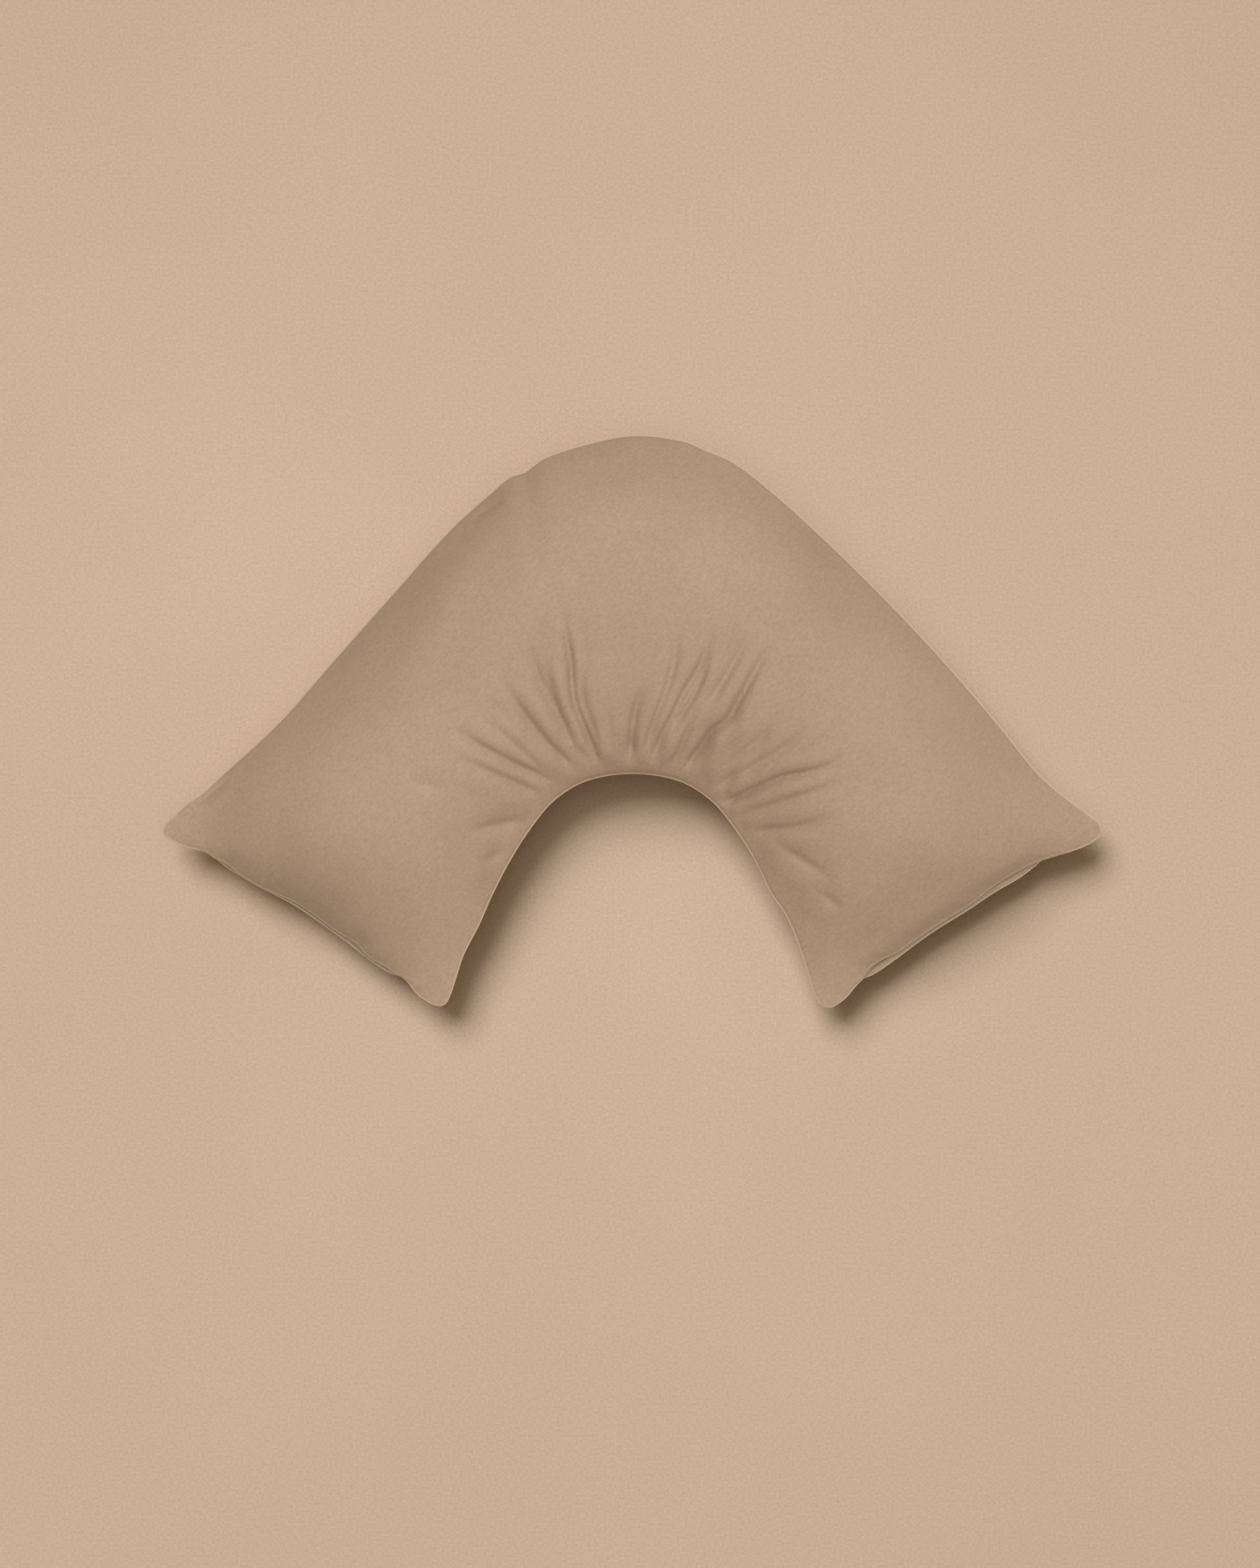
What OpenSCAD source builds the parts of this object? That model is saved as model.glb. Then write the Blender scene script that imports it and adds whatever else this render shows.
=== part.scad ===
// V-shaped nursing pillow. A fibre-filled inner pillow sits in a cover of two fabric panels, which
// meet in a seam all round, and a zip closes the cover across the end of each arm.
// +Z is up, +Y points to the apex and X runs across the arms. The origin is at the middle of the
// footprint, on the ground. The pillow is symmetric about the plane X = 0.

/* [Pillow] */
// Overall width, across the two outer ears
pillow_w = 842; // [760:1:920]
// Overall depth, from the apex to the inner ears
pillow_d = 511; // [470:1:560]
// Height of the seam above the ground at the centre
seam_z_mid = 58; // [52:1:64]
// Height of the seam above the ground at the arm ends
seam_z_end = 40; // [36:1:46]
// Rise of the fabric above the seam at the centre
crown_mid = 76; // [66:1:84]
// Rise of the fabric above the seam in the arms
crown_end = 66; // [60:1:72]
// Length over which an arm's fullness rolls off to its end
end_roll = 95; // [85:1:120]
// Distance from an ear's tip over which the fullness fades in
ear_fade = 80; // [60:1:100]

/* [Cover] */
// Thickness of the cover fabric
fabric_t = 1.2; // [0.8:0.1:1.6]
// Height of the folded hem that edges each panel
hem_h = 2.2; // [2:0.1:3]
// Width of the seam allowance, turned inside
allowance = 9; // [7:1:11]
// Half of the gap between the panels in the closed seam
seam_gap = 0.4; // [0.3:0.1:0.6]

/* [Arm ends] */
// How far the upper lip is drawn in from the line between the ears' tips
upper_lip_in = 9; // [7:0.5:10]
// How far the lower lip is drawn in from the line between the ears' tips
lower_lip_in = 6; // [4:0.5:7]
// Length of the opening between the lips
opening_len = 206; // [190:1:210]
// Half of the gap between the lips, in height
lip_gap = 2.9; // [2.6:0.1:4]

/* [Zips] */
// Length of the zip chain
chain_len = 196; // [180:1:198]
// Visible width of each tape
tape_w = 9.5; // [8:0.5:10]
// Thickness of a tape
tape_t = 0.5; // [0.4:0.1:0.6]
// Radius of each coil
coil_r = 1.1; // [1:0.05:1.2]
// Length of the slider
slider_len = 10; // [8:0.5:12]
// Length of the pull tab
tab_len = 22; // [16:1:28]
// Width of the pull tab
tab_w = 3.6; // [3:0.1:4]

/* [Inner pillow] */
// Thickness of the casing fabric
casing_t = 0.8; // [0.6:0.1:1]
// Distance of the casing's seam from the cover's seam
casing_in = 13; // [12:1:16]
// Distance of the casing's ends from the arm ends
casing_end_in = 27; // [26:1:34]

/* [Hidden] */

TOP = 1;
BOTTOM = -1;
fabric_colour = [0.69, 0.59, 0.49];
lining_colour = [0.93, 0.92, 0.88];
filling_colour = [0.97, 0.97, 0.96];
thread_colour = [0.62, 0.52, 0.42];
metal_colour = [0.72, 0.66, 0.58];

// Grid of each panel: cells along the V, and across it.
along = 44;
across = 12;

// Outline of the right half at the base size, from the centre line to the arm's end.
base_w = 842;
base_d = 511;
outer_edge = [for (p = [[0, 255.5], [68, 241], [127, 203], [178, 156], [226, 106], [275, 55],
    [323, 0], [371, -48], [421, -96]]) [p[0] * pillow_w / base_w, p[1] * pillow_d / base_d]];
notch_edge = [for (p = [[0, -46], [46, -55], [83, -85], [108, -122], [131, -166], [152, -209],
    [172, -255.5]]) [p[0] * pillow_w / base_w, p[1] * pillow_d / base_d]];

// The line between an arm's two ears, and the frame of the zip on it.
outer_ear = outer_edge[len(outer_edge) - 1];
inner_ear = notch_edge[len(notch_edge) - 1];
chord = norm(outer_ear - inner_ear);
end_mid = (outer_ear + inner_ear) / 2;
end_angle = atan2(outer_ear[1] - inner_ear[1], outer_ear[0] - inner_ear[0]);
ear_len = 32;       // length of an ear along the chord
lip_fade = 20;      // length over which the opening's lips close
draw_in_depth = 60; // depth of fabric that is drawn in with the lips
notch_len = 289;    // length of half of the notch edge
rim_len = 558;      // length of half of the outer edge

function mix(a, b, f) = a + (b - a) * f;
function smooth(x) = let (c = max(0, min(1, x))) c * c * (3 - 2 * c);

// Catmull-Rom curve through points, whose first point lies on the centre line.
function spline(points, q) =
    let (k = min(floor(q), len(points) - 2), f = q - k, b = points[k], c = points[k + 1],
        a = k == 0 ? [-points[1][0], points[1][1]] : points[k - 1],
        d = k + 2 < len(points) ? points[k + 2] : 2 * c - b)
    (2 * b + (c - a) * f + (2 * a - 5 * b + 4 * c - d) * f * f + (3 * b - a - 3 * c + d) * f * f * f) / 2;

// Point of an edge at s, from -1 at the left arm's end to 1 at the right arm's end.
function edge(points, s) =
    let (p = spline(points, abs(s) * (len(points) - 1))) [sign(s) * p[0], p[1]];

function seam_z(s) = mix(seam_z_mid, seam_z_end, s * s);
function crown(s) = mix(crown_mid, crown_end, s * s);
function from_end(s, t) = (1 - abs(s)) * mix(notch_len, rim_len, t);
function along_chord(t) = (t - 0.5) * chord;

// Half of the gap between the two panels.
function half_gap(s, t) =
    let (open = smooth((opening_len / 2 + lip_fade - abs(along_chord(t))) / lip_fade))
    seam_gap + (lip_gap - seam_gap) * open * smooth(1 - from_end(s, t) / draw_in_depth);

// Plan position at s along the V and t across it, from 0 at the notch to 1 at the outer edge.
function plan(side, s, t) =
    let (flat = mix(edge(notch_edge, s), edge(outer_edge, s), t),
        lip_in = side == TOP ? upper_lip_in : lower_lip_in,
        pull = lip_in * smooth((chord / 2 - abs(along_chord(t))) / ear_len)
            * smooth(1 - from_end(s, t) / draw_in_depth))
    flat + pull * [-sign(s) * sin(end_angle), cos(end_angle)];

// Fullness of the pillow above or below its seam.
function fullness(s, t) =
    let (p = mix(edge(notch_edge, abs(s)), edge(outer_edge, abs(s)), t),
        section = (1 - pow(abs(2 * t - 1), 2.2)) ^ 0.6,
        roll = (1 - pow(1 - min(1, from_end(s, t) / end_roll), 2.2)) ^ 0.5,
        ears = (min(1, norm(p - outer_ear) / ear_fade) * min(1, norm(p - inner_ear) / ear_fade)) ^ 0.5)
    crown(s) * section * roll * ears;

// The lower side rests on the ground, so its fullness is cut off there.
function depth(side, s, t) =
    side == TOP ? fullness(s, t) : min(fullness(s, t), seam_z(s) - half_gap(s, t) - hem_h);

// A layer is [inset from the side seams, inset from the arm ends, drop below the cover's surface].
COVER = [0, 0, 0];
CASING = [casing_in, casing_end_in, 4];
FILLING = [casing_in + allowance + 1.5, casing_end_in + allowance + 1.5, 8];

// A layer's own position in the cover's grid.
function inset_s(inset, s, t) = s * (1 - inset / mix(notch_len, rim_len, t));
function inset_t(inset, s, t) =
    let (share = inset / norm(edge(outer_edge, s) - edge(notch_edge, s))) mix(share, 1 - share, t);

// An inner layer closes at its own edges, where the cover above it is still open.
function closure(layer, s, t) =
    layer == COVER ? 1 : sqrt((1 - pow(abs(2 * t - 1), 6)) * (1 - pow(abs(s), 20)));

function skin_point(layer, side, s, t) =
    let (si = inset_s(layer[1], s, t), ti = inset_t(layer[0], si, t), p = plan(side, si, ti),
        reach = max(0, depth(side, si, ti) - layer[2]) * closure(layer, s, t))
    [p[0], p[1], seam_z(si) + side * (half_gap(si, ti) + hem_h + reach)];

// Point inside a layer's seam, inset from its edges, at a height above the seam's gap.
function rim_point(layer, side, inset, end_inset, height, s, t) =
    let (si = inset_s(layer[1] + end_inset, s, t), ti = inset_t(layer[0] + inset, si, t),
        p = plan(side, si, ti))
    [p[0], p[1], seam_z(si) + side * (half_gap(si, ti) + height)];

// Grid lines stand closer together towards the edges, where the fabric turns.
function s_at(i) = let (x = 2 * i / along - 1) 0.8 * sin(90 * x) + 0.2 * x;
function t_at(j) = (1 - cos(180 * j / across)) / 2;

function grid(layer, side) =
    [for (i = [0 : along]) [for (j = [0 : across]) skin_point(layer, side, s_at(i), t_at(j))]];

// The grid's border, once round.
border = concat([for (i = [0 : along - 1]) [i, 0]], [for (j = [0 : across - 1]) [along, j]],
    [for (i = [along : -1 : 1]) [i, across]], [for (j = [across : -1 : 1]) [0, j]]);

function rim(layer, side, inset, end_inset, height) =
    [for (b = border) rim_point(layer, side, inset, end_inset, height, s_at(b[0]), t_at(b[1]))];

function unit(v) = v / norm(v);

// The grid moved inwards by the fabric's thickness. Its border follows the hem's inner corner.
function lining(layer, side, g, thickness) =
    [for (i = [0 : along]) [for (j = [0 : across])
        i == 0 || j == 0 || i == along || j == across
            ? rim_point(layer, side, thickness + 0.4, thickness + 0.4, hem_h - thickness + 0.1,
                s_at(i), t_at(j))
            : g[i][j] - side * thickness
                * unit(cross(g[i + 1][j] - g[i - 1][j], g[i][j + 1] - g[i][j - 1]))]];

// Faces of a grid whose points start at an index, turned over if flip is true.
function grid_faces(start, flip) =
    [for (i = [0 : along - 1]) for (j = [0 : across - 1])
        let (a = start + i * (across + 1) + j, b = a + across + 1)
        each flip ? [[a, b, b + 1], [a, b + 1, a + 1]] : [[a, b + 1, b], [a, a + 1, b + 1]]];

// Faces between two closed loops of point indices.
function strip_faces(p, q, flip) =
    [for (k = [0 : len(p) - 1])
        let (m = (k + 1) % len(p))
        each flip ? [[p[k], q[m], q[k]], [p[k], p[m], q[m]]] : [[p[k], q[k], q[m]], [p[k], q[m], p[m]]]];

function border_index(start) = [for (b = border) start + b[0] * (across + 1) + b[1]];
function flat_list(g) = [for (row = g) each row];
function run(start, count) = [for (k = [0 : count - 1]) start + k];

// One fabric panel: an outer skin, a lining a thickness behind it, and between them the hem and the
// seam allowance that is turned inside. The allowance at the arm ends has a width of its own.
module panel(layer, side, thickness, end_allowance) {
    skin = grid(layer, side);
    back = lining(layer, side, skin, thickness);
    loops = [rim(layer, side, 0, 0, 0),
        rim(layer, side, allowance, end_allowance, 0),
        rim(layer, side, allowance, end_allowance, hem_h - thickness - 0.2),
        rim(layer, side, thickness + 0.4, thickness + 0.4, hem_h - thickness - 0.2)];
    count = len(border);
    skins = (along + 1) * (across + 1);
    first = 2 * skins;
    lines = concat([border_index(0)], [for (k = [0 : 3]) run(first + k * count, count)],
        [border_index(skins)]);
    points = concat(flat_list(skin), flat_list(back), flat_list(loops));
    top = side == TOP;
    faces = concat(grid_faces(0, !top), grid_faces(skins, top),
        [for (k = [0 : len(lines) - 2]) each strip_faces(lines[k], lines[k + 1], top)]);
    polyhedron(points, faces);
}

// A thread along a path of points: a flat ribbon with four corners to each ring.
module ribbon(path, width, height, closed) {
    n = len(path);
    function at(k) = closed ? path[(k + n) % n] : path[max(0, min(n - 1, k))];
    points = [for (k = [0 : n - 1])
        let (d = unit(at(k + 1) - at(k - 1)), side = unit([-d[1], d[0], 0]) * width / 2,
            up = [0, 0, height / 2])
        each [path[k] + side + up, path[k] - side + up, path[k] - side - up, path[k] + side - up]];
    walls = [for (k = [0 : n - (closed ? 1 : 2)]) for (c = [0 : 3])
        let (a = 4 * k + c, b = 4 * k + (c + 1) % 4, e = 4 * ((k + 1) % n))
        each [[a, b, e + (c + 1) % 4], [a, e + (c + 1) % 4, e + c]]];
    caps = closed ? [] : [[3, 2, 1, 0], [4 * n - 4, 4 * n - 3, 4 * n - 2, 4 * n - 1]];
    polyhedron(points, concat(walls, caps));
}

thread_w = 1;
thread_h = 0.4;
stitch_in = 6; // distance of the seam's stitches from the panels' edges

// The stitches' path along a layer's seam, through the border's points whose place across the V
// is from low to high. It starts just before the border's own start, at the left inner ear.
function seam_path(layer, low, high) =
    let (n = len(border))
    [for (k = [0 : n - 1]) let (b = border[(k + n - 1) % n]) if (b[1] >= low && b[1] <= high)
        let (s = s_at(b[0]), t = t_at(b[1]))
        (rim_point(layer, TOP, stitch_in, stitch_in, 0, s, t)
            + rim_point(layer, BOTTOM, stitch_in, stitch_in, 0, s, t)) / 2];

module cover_panel(side) { color(fabric_colour) panel(COVER, side, fabric_t, fabric_t + 0.8); }
module casing_panel(side) { color(lining_colour) panel(CASING, side, casing_t, allowance); }
module cover_top_panel() { cover_panel(TOP); }
module cover_bottom_panel() { cover_panel(BOTTOM); }
module inner_casing_top() { casing_panel(TOP); }
module inner_casing_bottom() { casing_panel(BOTTOM); }
module outer_seam_thread() {
    color(thread_colour) ribbon(seam_path(COVER, across - 1, across), thread_w, thread_h, false);
}
module notch_seam_thread() {
    color(thread_colour) ribbon(seam_path(COVER, 0, 1), thread_w, thread_h, false);
}
module inner_seam_thread() {
    color(lining_colour) ribbon(seam_path(CASING, 0, across), thread_w, thread_h, true);
}

// The filling is one closed body: an upper and a lower skin that meet in an upright band.
module fibre_filling() {
    skins = (along + 1) * (across + 1);
    color(filling_colour) polyhedron(
        concat(flat_list(grid(FILLING, TOP)), flat_list(grid(FILLING, BOTTOM))),
        concat(grid_faces(0, false), grid_faces(skins, true),
            strip_faces(border_index(0), border_index(skins), true)));
}

// Places a piece in the frame of an arm end: X along the chord from the inner ear to the outer ear,
// Y into the pillow, Z up, with the origin midway between the ears' tips at the seam's height.
module at_end(left) {
    mirror([left ? 1 : 0, 0, 0])
        translate([end_mid[0], end_mid[1], seam_z_end])
            rotate([0, 0, end_angle]) children();
}

// Depths into the pillow of the zip's layers, front to back.
pivot_y = 10.7;
plate_y = 12.5;                                // front of the slider's front plate
plate_t = 1;
coil_front_y = plate_y + plate_t + 0.35;
tape_y = coil_front_y + 2 * coil_r;            // front of the tape
back_plate_y = tape_y + tape_t + 0.35;         // front of the slider's back plate
coil_z = 0.5 + coil_r;                         // height of a coil's centre from the chain's middle
slider_h = 8.4;
slider_x = chain_len / 2 - slider_len / 2 - 2; // middle of the slider, closed
stop_t = 1.8;

// A tape stands behind its lip, from the chain's middle outwards.
module zip_tape(side) {
    inner_z = coil_z - coil_r / 2;
    color(thread_colour) translate([-chain_len / 2 - 6, tape_y, side == TOP ? inner_z : -inner_z - tape_w])
        cube([chain_len + 12, tape_t, tape_w]);
}

module zip_coil(side) {
    color(thread_colour) translate([-chain_len / 2, coil_front_y + coil_r, side * coil_z])
        rotate([0, 90, 0]) cylinder(h = chain_len, r = coil_r, $fn = 24);
}

// The slider: two plates with rounded ends, a blade that joins them between the coils, flanges that
// guide the coils, and a lug that carries the pull tab.
blade_t = 0.4;
lug_t = 1.2;
lug_r = 1.9;
pin_r = 0.8;
pin_gap = 0.06;
module slider_plate() {
    translate([0, plate_t, 0]) rotate([90, 0, 0]) linear_extrude(plate_t) hull() {
        translate([slider_len / 2 - 2, 0]) square([4, slider_h - 1], center = true);
        translate([1 - slider_len / 2, 0]) square([2, slider_h - 3], center = true);
        square([slider_len / 2, slider_h], center = true);
    }
}
module zip_slider() {
    flange_d = tape_y - plate_y - plate_t - 0.35;
    color(metal_colour) translate([slider_x, 0, 0]) difference() {
        union() {
            translate([0, plate_y, 0]) slider_plate();
            translate([0, back_plate_y, 0]) slider_plate();
            translate([-1, plate_y + plate_t / 2, -blade_t / 2])
                cube([3, back_plate_y - plate_y, blade_t]);
            for (side = [-1, 1])
                translate([-2, plate_y + plate_t / 2, side * (slider_h / 2 - 0.4) - 0.4])
                    cube([4, flange_d + plate_t / 2, 0.8]);
            translate([-lug_r, pivot_y, -lug_t / 2]) cube([2 * lug_r, plate_y - pivot_y + 0.2, lug_t]);
            translate([0, pivot_y, -lug_t / 2]) cylinder(h = lug_t, r = lug_r, $fn = 32);
        }
        translate([0, pivot_y, -lug_t]) cylinder(h = 2 * lug_t, r = pin_r + pin_gap, $fn = 32);
    }
}

// The pull tab lies along the chain and turns outwards on its pin.
tab_t = 1.2;
cheek_r = 1.5;
module zip_pull_tab() {
    cheek_t = (tab_w - lug_t) / 2 - 0.15;
    throat = lug_r + 0.4; // where the cheeks join, clear of the lug
    color(metal_colour) translate([slider_x, pivot_y, 0]) union() {
        translate([0, 0, -tab_w / 2]) cylinder(h = tab_w, r = pin_r, $fn = 32);
        for (side = [0, 1]) mirror([0, 0, side]) {
            translate([0, 0, lug_t / 2 + 0.15]) cylinder(h = cheek_t, r = cheek_r, $fn = 32);
            translate([-throat - 1, -tab_t / 2, lug_t / 2 + 0.15]) cube([throat + 1, tab_t, cheek_t]);
        }
        translate([-tab_len + tab_w / 2, -tab_t / 2, -tab_w / 2])
            cube([tab_len - tab_w / 2 - throat, tab_t, tab_w]);
        translate([-tab_len + tab_w / 2, tab_t / 2, 0]) rotate([90, 0, 0])
            cylinder(h = tab_t, r = tab_w / 2, $fn = 32);
    }
}

// Two stops, one crimped on each tape's edge past the coils.
module zip_top_stops() {
    color(metal_colour) for (side = [-1, 1])
        translate([chain_len / 2 + 0.3, coil_front_y + 0.2, side * coil_z - coil_r * 0.8])
            cube([stop_t, 2 * coil_r - 0.2, coil_r * 1.6]);
}

// One stop that joins both tapes at the foot of the chain.
module zip_bottom_stop() {
    color(metal_colour) translate([-chain_len / 2 - 0.3 - stop_t, coil_front_y + 0.2, -coil_z - coil_r])
        cube([stop_t, 2 * coil_r - 0.2, 2 * (coil_z + coil_r)]);
}

// Stitches that hold the tapes: a row on the back of each tape.
stitch_pitch = 8;
stitch_len = 5;
module zip_stitching() {
    rows = coil_z + tape_w * 0.68;
    color(thread_colour) for (side = [-1, 1]) for (x = [-96 : stitch_pitch : 92])
        translate([x, tape_y + tape_t, side * rows - 0.25]) cube([stitch_len, 0.4, 0.5]);
}

// Blank labels that stand upright between a zip and the inner pillow.
label_y = 21;
module label(width, height, colour) {
    color(colour) translate([-width / 2, label_y, -height / 2]) cube([width, 0.4, height]);
}
module care_label() { at_end(true) label(40, 26, lining_colour); }
module inner_label() { at_end(false) label(34, 22, filling_colour); }

module left_zip_upper_tape() { at_end(true) zip_tape(TOP); }
module left_zip_lower_tape() { at_end(true) zip_tape(BOTTOM); }
module left_zip_upper_coil() { at_end(true) zip_coil(TOP); }
module left_zip_lower_coil() { at_end(true) zip_coil(BOTTOM); }
module left_zip_slider() { at_end(true) zip_slider(); }
module left_zip_pull_tab() { at_end(true) zip_pull_tab(); }
module left_zip_top_stops() { at_end(true) zip_top_stops(); }
module left_zip_bottom_stop() { at_end(true) zip_bottom_stop(); }
module left_zip_stitching() { at_end(true) zip_stitching(); }
module right_zip_upper_tape() { at_end(false) zip_tape(TOP); }
module right_zip_lower_tape() { at_end(false) zip_tape(BOTTOM); }
module right_zip_upper_coil() { at_end(false) zip_coil(TOP); }
module right_zip_lower_coil() { at_end(false) zip_coil(BOTTOM); }
module right_zip_slider() { at_end(false) zip_slider(); }
module right_zip_pull_tab() { at_end(false) zip_pull_tab(); }
module right_zip_top_stops() { at_end(false) zip_top_stops(); }
module right_zip_bottom_stop() { at_end(false) zip_bottom_stop(); }
module right_zip_stitching() { at_end(false) zip_stitching(); }

cover_top_panel();
cover_bottom_panel();
outer_seam_thread();
notch_seam_thread();
care_label();
inner_casing_top();
inner_casing_bottom();
inner_seam_thread();
inner_label();
fibre_filling();
left_zip_upper_tape();
left_zip_lower_tape();
left_zip_upper_coil();
left_zip_lower_coil();
left_zip_slider();
left_zip_pull_tab();
left_zip_top_stops();
left_zip_bottom_stop();
left_zip_stitching();
right_zip_upper_tape();
right_zip_lower_tape();
right_zip_upper_coil();
right_zip_lower_coil();
right_zip_slider();
right_zip_pull_tab();
right_zip_top_stops();
right_zip_bottom_stop();
right_zip_stitching();
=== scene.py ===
"""V-shaped nursing pillow: the looks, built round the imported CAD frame.

Shapes are worked out in millimetres and made in metres. A place on a panel is (s, t): s runs along the V
from the left arm's end at -1 to the right one's at 1, and t across it from the notch at 0 to the outer
edge at 1.
"""

import math

import bpy
import numpy as np
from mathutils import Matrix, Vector


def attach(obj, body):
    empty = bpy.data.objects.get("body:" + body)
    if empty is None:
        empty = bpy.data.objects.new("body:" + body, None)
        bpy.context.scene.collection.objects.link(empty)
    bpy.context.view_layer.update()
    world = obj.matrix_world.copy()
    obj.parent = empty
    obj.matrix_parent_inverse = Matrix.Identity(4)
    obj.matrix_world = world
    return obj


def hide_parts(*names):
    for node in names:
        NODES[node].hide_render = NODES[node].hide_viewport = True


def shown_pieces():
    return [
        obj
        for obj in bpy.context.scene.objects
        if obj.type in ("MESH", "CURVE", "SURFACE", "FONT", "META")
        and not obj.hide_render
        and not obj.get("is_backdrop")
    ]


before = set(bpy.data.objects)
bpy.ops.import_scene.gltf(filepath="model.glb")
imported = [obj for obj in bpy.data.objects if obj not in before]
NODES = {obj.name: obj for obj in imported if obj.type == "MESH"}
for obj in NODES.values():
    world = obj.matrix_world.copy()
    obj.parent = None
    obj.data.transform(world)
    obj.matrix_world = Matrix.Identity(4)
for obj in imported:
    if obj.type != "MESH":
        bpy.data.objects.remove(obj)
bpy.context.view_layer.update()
TOP = 1
BOTTOM = -1

# ---------------------------------------------------------------- outline, seen from above

OUTER_LEFT = [(0, 256), (-36, 249.5), (-62, 242), (-80, 235), (-97, 223), (-107, 220), (-127, 204),
              (-150, 184), (-214, 115), (-266, 57), (-318, -1), (-365, -44), (-389, -65), (-401, -73),
              (-411, -82), (-419, -90), (-421.5, -97)]
OUTER_RIGHT = [(0, 256), (18, 255.5), (35, 253), (49, 250), (60, 245), (88, 233), (100, 225), (124, 206),
               (176, 159), (228, 108), (280, 53), (332, -7), (369, -51), (387, -66), (409, -82), (419, -91),
               (420.5, -97)]
NOTCH_LEFT = [(0, -46), (-20, -47.5), (-45, -54), (-70, -70), (-91, -95), (-110, -125), (-125, -154),
              (-138, -183), (-146, -198), (-151, -208), (-158, -229), (-164, -246), (-167, -251.5),
              (-172, -254.5)]
NOTCH_RIGHT = [(0, -46), (20, -47.5), (45, -54), (70, -70), (91, -95), (110, -125), (123, -152),
               (137, -173), (144, -188), (150, -204), (157, -226), (162, -243), (168, -252), (173, -255.5)]
# The lower lip at each arm end: (place along the line between the ears, distance drawn in from it).
END_LEFT = [(-148, 0), (-141, -2.5), (-132, -3), (-121, -1.5), (-112, 2), (-105, 3.5), (-96, 1), (-73, 0.5),
            (-48, 3), (-18, 5), (12, 6), (50, 3), (69, 2.5), (83, 2.5), (95, 4), (104, 4.5), (113, 2),
            (123, -2), (135, -3), (143, -3.5), (148, 0)]
END_RIGHT = [(-147, 0), (-142, -3), (-136, -3.5), (-128, -3), (-113, 1.5), (-106, 3), (-96, 1.5), (-70, 2),
             (-40, 4), (-21, 4.5), (5, 4), (41, 4.5), (64, 3.5), (81, 5), (89, 6), (95, 4.5), (112, -0.5),
             (120, -2.5), (128, -4), (136, -4.5), (143, -3.5), (147, 0)]
# How far the upper lip stands back from the lower one.
BACK_LEFT = [(-105, 0), (-88, 3.5), (-66, 2.5), (-56, 4.5), (-35, 3), (-10, 3.5), (10, 3.5), (36, 1.5),
             (69, 1.5), (83, 3), (95, 0)]
BACK_RIGHT = [(-106, 0), (-96, 6), (-60, 4.5), (6, 4), (81, 3), (89, 0)]
ARM_WIDTH = 260     # usual width across an arm
LIP_FRONT = 24      # depth of fabric behind a lip that stands back with it
EAR_DEPTH = 60      # depth of fabric that is drawn in with the ends

# ---------------------------------------------------------------- heights

SEAM_MID, SEAM_END = 58, 40         # height of the seam at the middle of the V and at the arms' ends
CROWN_MID, CROWN_END = 76, 66       # rise of the fabric above its seam, at the same places
PEAK = 0.55                         # place across the V of the highest line
ROUND, ROUNDER = 2.1, 2.2           # powers that bend the cross section over
STEEP_MID, STEEP_END = 0.72, 1.1    # how steeply it rises from the notch
END_ROLL, EAR_FADE = 125, 100       # lengths over which it falls to an arm's end and to an ear
PINCH = 3.4                         # width of the flat strip along every seam
HEM = 1.3
CLOSED_GAP, OPEN_GAP = 0.12, 2.1    # half the gap between the panels in the seam and in the opening
OPENING, OPENING_ENDS = 216, 20     # length of the opening, and of the taper at its ends
FABRIC = 1.2
TAPE_FRONT = 16.05                  # depth of the zip tapes behind the line between the ears

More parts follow.
